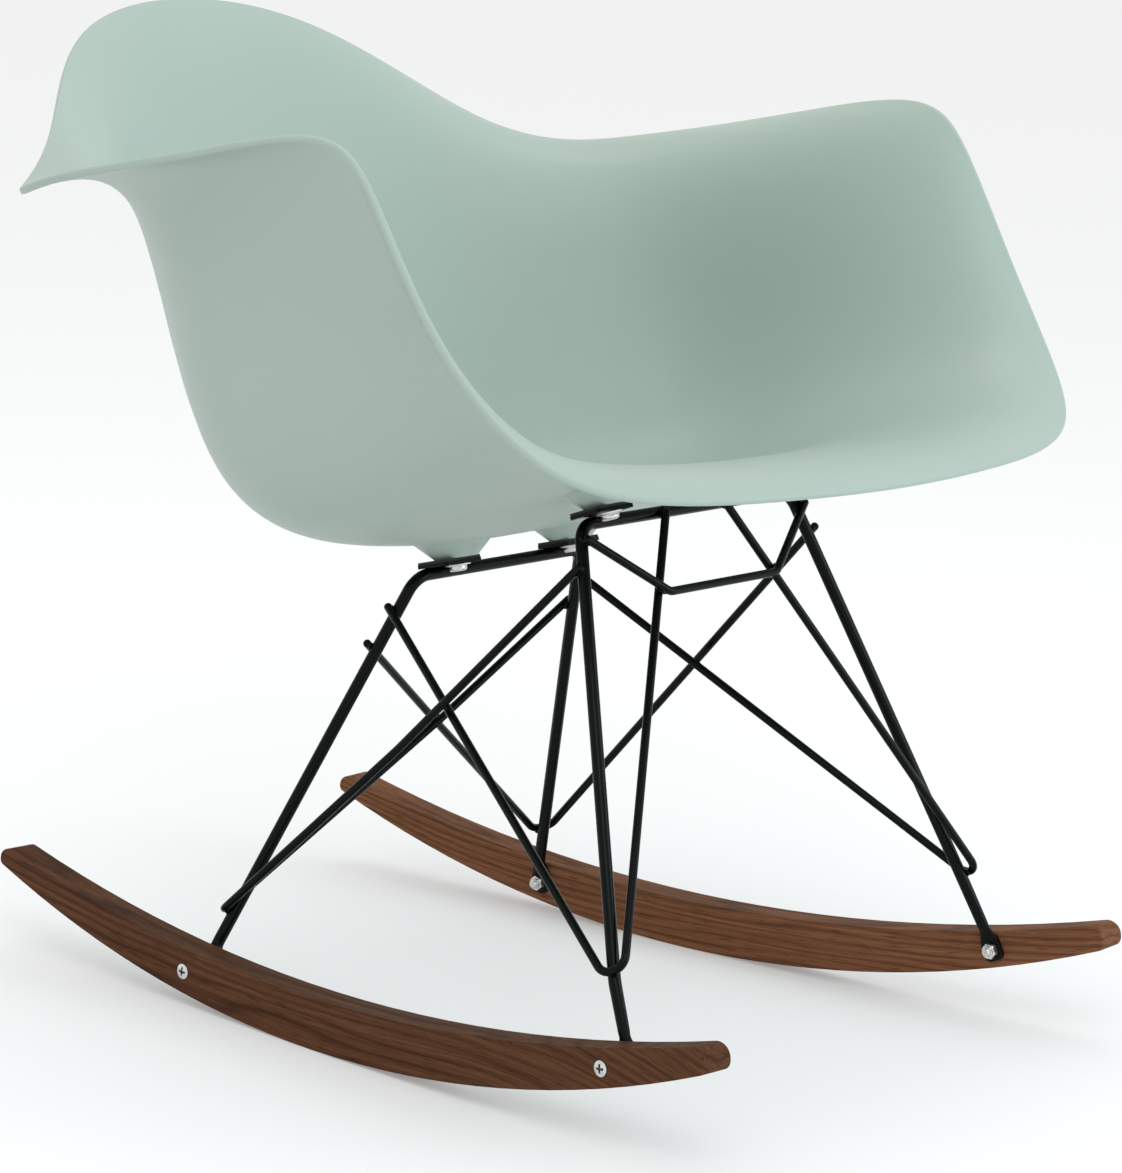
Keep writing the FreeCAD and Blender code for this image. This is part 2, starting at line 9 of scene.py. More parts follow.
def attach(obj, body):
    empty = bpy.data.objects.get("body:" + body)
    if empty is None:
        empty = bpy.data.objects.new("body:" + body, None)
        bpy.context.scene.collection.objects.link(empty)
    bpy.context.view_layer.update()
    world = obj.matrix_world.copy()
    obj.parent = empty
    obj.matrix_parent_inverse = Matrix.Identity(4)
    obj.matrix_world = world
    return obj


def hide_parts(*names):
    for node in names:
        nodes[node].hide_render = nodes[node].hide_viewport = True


# A moulded rocking armchair: the solids of the frame get their finishes. Hoops, screws, bolts and nuts are drawn
# anew as finer surfaces, and weld beads are added. Metres unless a note says so. The sitter faces -Y.

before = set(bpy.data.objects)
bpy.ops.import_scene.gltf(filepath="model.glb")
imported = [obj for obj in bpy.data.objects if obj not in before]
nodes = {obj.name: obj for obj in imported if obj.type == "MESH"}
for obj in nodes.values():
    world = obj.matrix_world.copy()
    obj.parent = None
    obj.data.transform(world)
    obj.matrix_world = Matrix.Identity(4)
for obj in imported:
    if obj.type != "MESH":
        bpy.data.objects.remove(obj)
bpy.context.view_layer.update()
ends = ("rear", "front")
sides = ("left", "right")
print("frame loaded:", len(nodes), "nodes")


# Small helpers for the finishes

def newMaterial(name):
    material = bpy.data.materials.new(name)
    material.use_nodes = True
    return material, material.node_tree, material.node_tree.nodes["Principled BSDF"]


# A socket takes another socket's output, or a plain value.
def feed(tree, source, socket):
    if isinstance(source, bpy.types.NodeSocket):
        tree.links.new(source, socket)
    else:
        socket.default_value = source


def calc(tree, operation, first, second=0.0, clamp=False):
    made = tree.nodes.new("ShaderNodeMath")
    made.operation = operation
    made.use_clamp = clamp
    feed(tree, first, made.inputs[0])
    feed(tree, second, made.inputs[1])
    return made.outputs[0]


# Object coordinates, turned about Z, then stretched
def place(tree, scale=(1, 1, 1), offset=(0, 0, 0), turn=0.0):
    coords = tree.nodes.new("ShaderNodeTexCoord")
    made = tree.nodes.new("ShaderNodeMapping")
    made.inputs["Location"].default_value = offset
    made.inputs["Rotation"].default_value = (0, 0, turn)
    made.inputs["Scale"].default_value = scale
    tree.links.new(coords.outputs["Object"], made.inputs["Vector"])
    return made.outputs["Vector"]


def noise(tree, vector, scale=1.0, detail=2.0, harshness=0.5, bend=0.0):
    made = tree.nodes.new("ShaderNodeTexNoise")
    feed(tree, vector, made.inputs["Vector"])
    made.inputs["Scale"].default_value = scale
    made.inputs["Detail"].default_value = detail
    made.inputs["Roughness"].default_value = harshness
    made.inputs["Distortion"].default_value = bend
    return made.outputs[0]


# A colour that runs through (position, colour) stops
def ramp(tree, value, stops):
    made = tree.nodes.new("ShaderNodeValToRGB")
    feed(tree, value, made.inputs["Fac"])
    bar = made.color_ramp.elements
    while len(bar) < len(stops):
        bar.new(0.5)
    for element, (position, colour) in zip(bar, stops):
        element.position = position
        element.color = (*colour, 1)
    return made.outputs["Color"]


def spread(tree, value, low, high, start=0.0, end=1.0):
    made = tree.nodes.new("ShaderNodeMapRange")
    feed(tree, value, made.inputs["Value"])
    for socket, number in zip(("From Min", "From Max", "To Min", "To Max"), (start, end, low, high)):
        made.inputs[socket].default_value = number
    return made.outputs["Result"]


def blendColour(tree, share, first, second, mode="MIX"):
    made = tree.nodes.new("ShaderNodeMix")
    made.data_type = "RGBA"
    made.blend_type = mode
    feed(tree, share, made.inputs[0])
    feed(tree, first, made.inputs[6])
    feed(tree, second, made.inputs[7])
    return made.outputs[2]


# Bumps on one another, each a (height, strength, depth in metres)
def relief(tree, shader, *layers):
    normal = None
    for height, strength, depth in layers:
        made = tree.nodes.new("ShaderNodeBump")
        made.inputs["Strength"].default_value = strength
        made.inputs["Distance"].default_value = depth
        feed(tree, height, made.inputs["Height"])
        if normal is not None:
            tree.links.new(normal, made.inputs["Normal"])
        normal = made.outputs["Normal"]
    tree.links.new(normal, shader.inputs["Normal"])


# Moulded plastic: nearly even colour, a fine satin skin and a faint slow waviness

shellLook = {"low": (0.342, 0.427, 0.379), "high": (0.360, 0.448, 0.399),
             "roughness": (0.36, 0.46), "skin": 1500.0, "waves": 9.0}


def shellPlastic():
    material, tree, shader = newMaterial("shellPlastic")
    even = place(tree)
    broad = noise(tree, even, 4.0, 2.0)
    feed(tree, ramp(tree, broad, [(0.3, shellLook["low"]), (0.7, shellLook["high"])]),
         shader.inputs["Base Color"])
    cloud = noise(tree, even, 55.0, 3.0)
    feed(tree, spread(tree, cloud, *shellLook["roughness"]), shader.inputs["Roughness"])
    skin = noise(tree, even, shellLook["skin"], 3.0, 0.6)
    slow = noise(tree, even, shellLook["waves"], 1.0)
    relief(tree, shader, (slow, 0.10, 0.003), (skin, 0.10, 0.00008))
    shader.inputs["IOR"].default_value = 1.47
    shader.inputs["Specular IOR Level"].default_value = 0.34
    return material


# Powder coat: a black skin with a slight orange peel and a few dusty specks

coatLook = {"deep": (0.0005, 0.0011, 0.0011), "dusty": (0.0022, 0.0036, 0.0035), "peel": 420.0}


def powderCoat():
    material, tree, shader = newMaterial("powderCoat")
    even = place(tree)
    dust = noise(tree, even, 900.0, 4.0, 0.7)
    feed(tree, ramp(tree, dust, [(0.45, coatLook["deep"]), (0.75, coatLook["dusty"])]),
         shader.inputs["Base Color"])
    feed(tree, spread(tree, noise(tree, even, 130.0, 2.0), 0.20, 0.30), shader.inputs["Roughness"])
    peel = noise(tree, even, coatLook["peel"], 1.5)
    relief(tree, shader, (peel, 0.22, 0.00025), (dust, 0.08, 0.00006))
    shader.inputs["IOR"].default_value = 1.36
    shader.inputs["Specular IOR Level"].default_value = 0.20
    return material


# Zinc plate on the fasteners: bright, with soft blotches and fine scratches. Shade is painted into it: the colour
# goes to near black where the surface's own point attribute is 1, down in the recesses and gaps, as painted
# shade.

def zincPlate():
    material, tree, shader = newMaterial("zincPlate")
    even = place(tree)
    blotch = noise(tree, even, 260.0, 3.0, 0.6)
    bright = ramp(tree, blotch, [(0.25, (0.55, 0.55, 0.54)), (0.7, (0.77, 0.765, 0.745))])
    # painted shade: the point attribute blends the zinc colour towards near black
    paintedShade = tree.nodes.new("ShaderNodeAttribute")
    paintedShade.attribute_name = "paintedShade"
    feed(tree, blendColour(tree, paintedShade.outputs["Fac"], bright, (0.03, 0.03, 0.032, 1)), shader.inputs["Base Color"])
    feed(tree, spread(tree, blotch, 0.24, 0.40), shader.inputs["Roughness"])
    scratch = noise(tree, place(tree, (2600, 2600, 500)), 1.0, 3.0)
    relief(tree, shader, (scratch, 0.12, 0.00003))
    shader.inputs["Metallic"].default_value = 1.0
    return material


def insertBrass():
    material, tree, shader = newMaterial("insertBrass")
    even = place(tree)
    stain = noise(tree, even, 400.0, 3.0)
    feed(tree, ramp(tree, stain, [(0.3, (0.52, 0.36, 0.13)), (0.7, (0.74, 0.56, 0.25))]),
         shader.inputs["Base Color"])
    feed(tree, spread(tree, stain, 0.28, 0.42), shader.inputs["Roughness"])
    relief(tree, shader, (noise(tree, even, 2400.0, 2.0), 0.1, 0.00004))
    shader.inputs["Metallic"].default_value = 1.0
    return material


def padRubber():
    material, tree, shader = newMaterial("padRubber")
    even = place(tree)
    grain = noise(tree, even, 1300.0, 4.0, 0.65)
    feed(tree, ramp(tree, grain, [(0.3, (0.006, 0.006, 0.006)), (0.75, (0.016, 0.016, 0.017))]),
         shader.inputs["Base Color"])
    feed(tree, spread(tree, grain, 0.62, 0.82), shader.inputs["Roughness"])
    relief(tree, shader, (grain, 0.3, 0.00012))
    return material


def lockingNylon():
    material, tree, shader = newMaterial("lockingNylon")
    milky = noise(tree, place(tree), 700.0, 2.0)
    feed(tree, ramp(tree, milky, [(0.3, (0.70, 0.72, 0.73)), (0.7, (0.82, 0.83, 0.83))]),
         shader.inputs["Base Color"])
    feed(tree, spread(tree, milky, 0.42, 0.55), shader.inputs["Roughness"])
    relief(tree, shader, (milky, 0.1, 0.00005))
    return material


# Stained wood: growth lines that bend with the rocker, long fibres between them and open pores.
# The board is cut straighter than it bends: a line's height above the floor is along^2 / curve. On the right
# rocker it turns down again near the front.

# strength scales each rocker's wood colours: the left rocker is painted almost twice as bright as the right,
# painted light for how light falls on it
woodLook = {"left": {"toe": -0.0681, "seed": 0.0, "turnDown": 0.0, "ring": 0.0062, "strength": 1.92},
            "right": {"toe": 0.0681, "seed": 3.7, "turnDown": 1.15, "ring": 0.0080, "strength": 1.03},
            "curve": 3.4, "dark": (0.034, 0.0142, 0.0074), "brown": (0.086, 0.0355, 0.0172),
            "light": (0.130, 0.0570, 0.0285)}


def rockerWood(side):
    look = woodLook[side]
    # painted light: the wood colours are scaled by the side's strength
    dark, brown, light = ((*(part * look["strength"] for part in woodLook[name]), 1)
                          for name in ("dark", "brown", "light"))
    material, tree, shader = newMaterial("rockerWood" + side.capitalize())
    straight = place(tree, turn=look["toe"])
    split = tree.nodes.new("ShaderNodeSeparateXYZ")
    tree.links.new(straight, split.inputs[0])
    across, along, height = split.outputs
    curve = calc(tree, "DIVIDE", calc(tree, "MULTIPLY", along, along), woodLook["curve"])
    ahead = calc(tree, "MAXIMUM", calc(tree, "SUBTRACT", -0.14, along), 0.0)
    dip = calc(tree, "MULTIPLY", calc(tree, "MULTIPLY", ahead, ahead), look["turnDown"])
    layer = calc(tree, "ADD", calc(tree, "SUBTRACT", height, curve), dip)
    together = tree.nodes.new("ShaderNodeCombineXYZ")
    feed(tree, calc(tree, "ADD", across, look["seed"]), together.inputs[0])
    feed(tree, along, together.inputs[1])
    feed(tree, layer, together.inputs[2])

    def stretched(scale):
        made = tree.nodes.new("ShaderNodeMapping")
        made.inputs["Scale"].default_value = scale
        tree.links.new(together.outputs[0], made.inputs["Vector"])
        return made.outputs["Vector"]

    drift = noise(tree, stretched((26, 3.2, 30)), 1.0, 2.0)  # the growth lines wander slowly
    ring = calc(tree, "ADD", calc(tree, "DIVIDE", layer, look["ring"]), calc(tree, "MULTIPLY", drift, 5.0))
    ring = calc(tree, "ADD", ring, calc(tree, "MULTIPLY", across, 46.0))
    ring = calc(tree, "FRACT", ring)
    lines = ramp(tree, ring, [(0.0, (0.55, 0.55, 0.55)), (0.30, (0.12, 0.12, 0.12)), (0.62, (0.32, 0.32, 0.32)),
                              (0.86, (1, 1, 1)), (1.0, (0.55, 0.55, 0.55))])
    fibre = noise(tree, stretched((420, 8, 640)), 1.0, 5.0, 0.68)  # long and thin
    pores = noise(tree, stretched((1000, 42, 1350)), 1.0, 2.0, 0.6)  # short dark dashes
    tone = noise(tree, stretched((22, 5, 55)), 1.0, 3.0, 0.6)  # lines are fainter here and there
    strong = calc(tree, "MULTIPLY", lines, spread(tree, tone, 0.45, 1.0, 0.3, 0.65))
    fibreShare = spread(tree, fibre, 0.0, 1.0, 0.40, 0.62)
    ground = blendColour(tree, fibreShare, light, brown)
    lined = blendColour(tree, calc(tree, "MULTIPLY", strong, 0.9), ground, dark)
    poreShare = spread(tree, pores, 0.0, 0.8, 0.57, 0.66)
    feed(tree, blendColour(tree, poreShare, lined, dark), shader.inputs["Base Color"])
    feed(tree, spread(tree, fibre, 0.50, 0.66), shader.inputs["Roughness"])
    relief(tree, shader, (lines, 0.10, 0.0002), (fibre, 0.14, 0.00015), (pores, 0.18, 0.0001))
    shader.inputs["IOR"].default_value = 1.16
    shader.inputs["Specular IOR Level"].default_value = 0.25
    return material


finishes = {"shell": shellPlastic(), "coat": powderCoat(), "zinc": zincPlate(), "brass": insertBrass(),
            "rubber": padRubber(), "nylon": lockingNylon(),
            "woodLeft": rockerWood("left"), "woodRight": rockerWood("right")}


# The finish of a solid, from its name
def finishFor(name):
    for start, finish in (("shell", "shell"), ("insert", "brass"), ("mount_pad", "rubber"),
                          ("mount_screw", "zinc"), ("rocker_bolt", "zinc"), ("rocker_nut", "zinc"),
                          ("rocker_left", "woodLeft"), ("rocker_right", "woodRight")):
        if name.startswith(start):
            return finishes[finish]
    return finishes["coat"]


for name, part in nodes.items():
    part.data.materials.clear()
    part.data.materials.append(finishFor(name))
print("finishes:", len(finishes))


# A surface through rings of points, an array of levels x steps x 3. Each level joins the next. When closed the
# last level joins the first, otherwise each end is filled to its middle. bands gives a material number for
# each level, and the last argument a painted shade, a darkness, for each point.

def ringSurface(name, rings, closed, materials, bands=None, sharp=32.0, paintedShades=None):
    levels, steps = rings.shape[:2]
    points = rings.reshape(-1, 3)
    here = np.arange(levels * steps).reshape(levels, steps)
    lower = here if closed else here[:-1]
    upper = np.roll(here, -1, 0) if closed else here[1:]
    quads = np.stack([lower, np.roll(lower, -1, 1), np.roll(upper, -1, 1), upper], -1).reshape(-1, 4)
    faces = [quads]
    if bands is None:
        bands = np.zeros(levels, int)
    numbers = np.repeat(np.array(bands)[:len(lower)], steps)
    if not closed:
        middles = np.stack([rings[0].mean(0), rings[-1].mean(0)])
        first, last = len(points), len(points) + 1
        points = np.concatenate([points, middles])
        start, end = here[0], here[-1]
        faces.append(np.stack([np.roll(start, -1), start, np.full(steps, first)], -1))
        faces.append(np.stack([end, np.roll(end, -1), np.full(steps, last)], -1))
        numbers = np.concatenate([numbers, np.full(2 * steps, numbers[0])])
    triangles = np.concatenate([quads[:, :3], quads[:, [0, 2, 3]]] + faces[1:])
    a, b, c = (points[triangles[:, i]] for i in range(3))
    if np.einsum("ij,ij->i", a, np.cross(b, c)).sum() < 0:
        faces = [f[:, ::-1] for f in faces]
    mesh = bpy.data.meshes.new(name)
    mesh.from_pydata(points.tolist(), [], [face for group in faces for face in group.tolist()])
    for material in materials:
        mesh.materials.append(material)
    mesh.polygons.foreach_set("material_index", numbers.astype(np.int32))
    mesh.polygons.foreach_set("use_smooth", np.ones(len(mesh.polygons), bool))
    mesh.set_sharp_from_angle(angle=math.radians(sharp))
    if paintedShades is not None:
        # painted shade per point, kept as a point attribute; the two end middles take the first ring's mean
        shade = np.zeros(len(points), dtype=np.float32)
        shade[:paintedShades.size] = paintedShades.reshape(-1)
        shade[paintedShades.size:] = paintedShades[0].mean()
        mesh.attributes.new("paintedShade", "FLOAT", "POINT").data.foreach_set("value", shade)
    mesh.update()
    made = bpy.data.objects.new(name, mesh)
    bpy.context.scene.collection.objects.link(made)
    return made


# Distance from the axis to a hexagon's flats, in the direction of each angle
def sixSided(turn, flats):
    return flats / 2 / np.cos(np.mod(turn + np.pi / 6, np.pi / 3) - np.pi / 6)


# The axis of a round solid: the direction whose share of the surface's facing differs from the other two. It
# starts at the surface's middle and points away from the widest end. Also the reach along it, both ways.
def axisOf(name):
    mesh = nodes[name].data
    mesh.calc_loop_triangles()
    points = np.empty(len(mesh.vertices) * 3)
    mesh.vertices.foreach_get("co", points)
    points = points.reshape(-1, 3)
    corners = np.empty(len(mesh.loop_triangles) * 3, dtype=np.int32)
    mesh.loop_triangles.foreach_get("vertices", corners)
    a, b, c = (points[corners.reshape(-1, 3)[:, i]] for i in range(3))
    facing = np.cross(b - a, c - a) / 2
    area = np.linalg.norm(facing, axis=1) + 1e-12
    middle = ((a + b + c) / 3 * area[:, None]).sum(0) / area.sum()
    values, vectors = np.linalg.eigh((facing[:, :, None] * facing[:, None, :] / area[:, None, None]).sum(0))
    axis = vectors[:, 0] if values[1] - values[0] > values[2] - values[1] else vectors[:, 2]
    reach = (points - middle) @ axis
    width = np.linalg.norm(points - middle - reach[:, None] * axis, axis=1)
    widest = reach[width > width.max() * 0.97].mean()
    if widest > (reach.min() + reach.max()) / 2:
        axis, reach = -axis, -reach
    return middle, axis, reach.min(), reach.max()


# Rings drawn about Z in millimetres, put on an axis in metres
def standing(rings, origin, axis, spin):
    side = np.cross(axis, (0, 0, 1) if abs(axis[2]) < 0.9 else (0, 1, 0))
    side /= np.linalg.norm(side)
    other = np.cross(axis, side)
    first = side * math.cos(spin) + other * math.sin(spin)
    second = np.cross(axis, first)
    return origin + (rings @ np.stack([first, second, axis])) * 0.001


# Points at a radius and height for each level (rows) and angle (columns)
def ringsOf(radius, height, turn):
    radius, height, turn = np.broadcast_arrays(radius, height, turn)
    return np.stack([radius * np.cos(turn), radius * np.sin(turn), height], -1)


# Rocker bolts: a low raised head with a cross recess, a narrow gap between it and the countersink, and a
# thread at the far end. The recess and the gap get painted shade, darker deeper in the recess. Head: height
# falls by a power of the radius. Recess: two crossed arms whose walls lean inwards. Thread: the radius is a
# triangle wave of (height / pitch - turn / full circle).

boltLook = {"head": 5.35, "crown": 1.0, "edge": 0.12, "gap": 0.4, "seat": 5.78, "sink": 3.3, "shank": 3.0,
            "arm": 3.3, "halfArm": 0.85, "endSlope": 0.6, "wallSlope": 0.30, "recess": 1.9,
            "pitch": 1.0, "thread": 0.30, "threaded": 13.0,
            "spin": {"rear": {"left": 0.4, "right": 0.05}, "front": {"left": 0.9, "right": -0.10}}}


def makeBolt(end, side):
    look = boltLook
    node = f"rocker_bolt_{end}_{side}"
    middle, axis, low, high = axisOf(node)
    length = (high - low) * 1000 - look["crown"]
    turn = np.linspace(0, 2 * np.pi, 180, endpoint=False)[None, :]
    out = np.linspace(0.02, 1, 72)[:, None] * look["head"]
    x, y = out * np.cos(turn), out * np.sin(turn)

    def arm(u, v):
        return (np.clip((look["arm"] - np.abs(u)) / look["endSlope"], 0, 1)
                * np.clip((look["halfArm"] - np.abs(v)) / look["wallSlope"], 0, 1))

    deep = np.maximum(arm(x, y), arm(y, x)) * look["recess"] * (1 - 0.4 * np.hypot(x, y) / look["arm"])
    fall = (out / look["head"]) ** 2.6
    head = ringsOf(out, -look["crown"] * (1 - fall) - look["edge"] * fall + np.maximum(deep, 0), turn)
    levels = [(look["head"] + 0.08, look["gap"]), (look["seat"], look["gap"]),
              (look["shank"] + 0.05, look["sink"] - 0.05),
              (look["shank"] - 0.02, look["sink"] + 0.3), (look["shank"] - 0.02, length - look["threaded"])]
    plain = ringsOf(*(np.array(levels)[:, i, None] for i in (0, 1)), turn)
    height = np.arange(length - look["threaded"] + 0.4, length - 0.7, 0.125)[:, None]
    wave = np.abs(np.mod(height / look["pitch"] - turn / (2 * np.pi), 1) * 2 - 1)
    thread = ringsOf(look["shank"] - look["thread"] * np.clip(wave * 1.3 - 0.15, 0, 1), height, turn)
    tip = ringsOf(np.array([2.55, 2.3, 0.6])[:, None], np.array([-0.45, 0.0, 0.0])[:, None] + length, turn)
    rings = np.concatenate([head, plain, thread, tip])
    paintedShades = np.zeros(rings.shape[:2])
    # painted shade: darker deeper in the cross recess, and the gap ring beside the head nearly black
    paintedShades[:len(head)] = np.clip(deep / look["recess"] * 1.8, 0, 0.86)
    paintedShades[len(head):len(head) + 2] = 0.95
    origin = middle + axis * (low + look["crown"] * 0.001)
    stood = standing(rings, origin, axis, look["spin"][end][side])
    bolt = ringSurface(f"bolt_{end}_{side}", stood, False, [finishes["zinc"]], paintedShades=paintedShades)
    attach(bolt, "root")
    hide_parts(node)
    return origin, axis


# Locking nuts: a hexagon cut by a cone at both ends, and a collar rolled over a nylon ring

nutLook = {"flats": 10.0, "spin": {"rear": 0.2, "front": 0.45},
           "profile": ((3.02, 0.25), (3.3, 0.0), (4.75, 0.0), (5.1, 0.22), (5.9, 0.75), (5.9, 4.15), (5.35, 4.66),
                       (5.0, 4.95), (4.45, 5.02), (4.22, 5.2), (4.2, 6.2), (4.1, 6.62), (3.85, 6.9), (3.6, 7.0),
                       (3.45, 6.9), (3.3, 6.72), (3.02, 6.6)),
           "nylonFrom": 14}


def makeNut(end, side, boltAxis):
    node = f"rocker_nut_{end}_{side}"
    middle = axisOf(node)[0]
    points = np.empty(len(nodes[node].data.vertices) * 3)
    nodes[node].data.vertices.foreach_get("co", points)
    base = ((points.reshape(-1, 3) - middle) @ boltAxis).min()
    turn = np.linspace(0, 2 * np.pi, 96, endpoint=False)[None, :]
    profile = np.array(nutLook["profile"])
    radius = np.minimum(profile[:, 0:1], sixSided(turn, nutLook["flats"]))
    rings = ringsOf(radius, profile[:, 1:2], turn)
    bands = [1 if i >= nutLook["nylonFrom"] - 1 else 0 for i in range(len(profile))]
    stood = standing(rings, middle + boltAxis * base, boltAxis, nutLook["spin"][end])
    nut = ringSurface(f"nut_{end}_{side}", stood, True, [finishes["zinc"], finishes["nylon"]], bands, 25.0)
    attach(nut, "root")
    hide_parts(node)


# Mount screws: a thin flange with a rolled edge, a rounded head with a six-sided socket, and a plain shank

screwLook = {"profile": ((0.35, 2.6), (1.9, 2.6), (2.0, 2.4), (2.0, 0.35), (2.25, 0.08), (2.5, 0.0), (4.0, 0.0),
                         (4.9, 0.16), (5.6, 0.55), (6.1, 1.15), (6.36, 1.9), (6.4, 2.6), (6.4, 3.55), (6.6, 3.85),
                         (7.2, 3.95), (8.4, 4.05), (8.95, 4.18), (9.2, 4.5), (9.25, 4.8), (9.2, 5.1), (9.0, 5.28),
                         (8.5, 5.3), (3.0, 5.3), (3.0, 16.0), (2.6, 16.4), (0.5, 16.5)),
             "socketRings": 6, "socket": 4.0, "spin": {"rear": 0.3, "front": 0.8}}


def makeScrew(end, side):
    node = f"mount_screw_{end}_{side}"
    middle, axis, low = axisOf(node)[:3]
    turn = np.linspace(0, 2 * np.pi, 72, endpoint=False)[None, :]
    profile = np.array(screwLook["profile"])
    radius = np.repeat(profile[:, 0:1], turn.shape[1], 1)
    flat = sixSided(turn, screwLook["socket"])
    inner = screwLook["socketRings"]
    radius[1:inner] = profile[1:inner, 0:1] / 2.0 * flat[0]
    rings = ringsOf(radius, profile[:, 1:2], turn)
    paintedShades = np.zeros(rings.shape[:2])
    # painted shade: the innermost three rings of the six-sided socket are painted dark
    paintedShades[:3] = 0.8
    stood = standing(rings, middle + axis * low, axis, screwLook["spin"][end])
    screw = ringSurface(f"screw_{end}_{side}", stood, False, [finishes["zinc"]], paintedShades=paintedShades)
    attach(screw, "root")
    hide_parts(node)


for end in ends:
    for side in sides:
        start, direction = makeBolt(end, side)
        makeNut(end, side, direction)
        makeScrew(end, side)
print("fasteners: 12 drawn")


# Hoops: each is one rod swept from foot to foot. A foot is a tongue whose section is a rounded oblong
# (|x/a|^n + |y/b|^n = 1). Above the bolt it swells smoothly, n falling from 5 to 2, to the round rod. The path is
# half a chair from the foot up, then the same mirrored. Millimetres in the level chair, turned by the lean last.

hoopLook = {"rod": 4.25, "seat": 345.0, "lean": 1.707, "pivot": 911.0, "barBend": 16.0, "kneeBend": 60.0,
            "tongue": (7.5, 1.8), "toe": 7.8, "corner": 4.5, "wideTo": 5.0, "clear": 0.04,
            "gap": 0.05, "tongueTo": 8.0, "tonguePower": 5.0, "rodPower": 2.0, "swell": 1.3, "round": 44,
            "rocker": {"bottom": 911.0, "top": 1296.0, "depth": 36.0, "thick": 27.0, "lead": 5.4, "half": 218.3,
                       "toeOut": 3.9},
            "rear": {"bolt": 149.8, "bar": (89.5, 50.1, -38.6), "beside": (-1.5, 2.0, 18.0)},
            "front": {"bolt": -242.2, "bar": (115.4, -112.8, 21.6), "beside": (22.5, 4.2, 46.6), "taper": 12.0}}


def unit(vector):
    return vector / np.linalg.norm(vector)


# A point beside the left rocker: along it, inwards from its outer face, and up
def besideRocker(along, depth, height):
    size = hoopLook["rocker"]
    toe = math.radians(size["toeOut"])
    return (np.array([size["half"], 0, height]) + along * np.array([-math.sin(toe), math.cos(toe), 0])
            - depth * np.array([math.cos(toe), math.sin(toe), 0]))


# Bolts sit half way between the rocker's two arcs
def boltHeight(along):
    size = hoopLook["rocker"]
    below = size["bottom"] - math.sqrt(size["bottom"] ** 2 - along ** 2)
    above = size["depth"] + size["top"] - math.sqrt(size["top"] ** 2 - (along - size["lead"]) ** 2)
    return (below + above) / 2


# Straight runs joined by arcs: each arc turns about a centre on the corner's bisector.
def bentRuns(points, bends):
    path = [points[0]]
    for before, corner, after, bend in zip(points, points[1:], points[2:], bends):
        a, b = unit(before - corner), unit(after - corner)
        half = math.acos(np.clip(a @ b, -1, 1)) / 2
        centre = corner + unit(a + b) * bend / math.sin(half)
        first = corner + a * bend / math.tan(half) - centre
        last = corner + b * bend / math.tan(half) - centre
        sweep = math.pi - 2 * half
        count = max(int(math.degrees(sweep) / 3), 2)
        for share in np.linspace(0, 1, count + 1):
            path.append(centre + (math.sin((1 - share) * sweep) * first + math.sin(share * sweep) * last)
                        / math.sin(sweep))
    return path + [points[-1]]


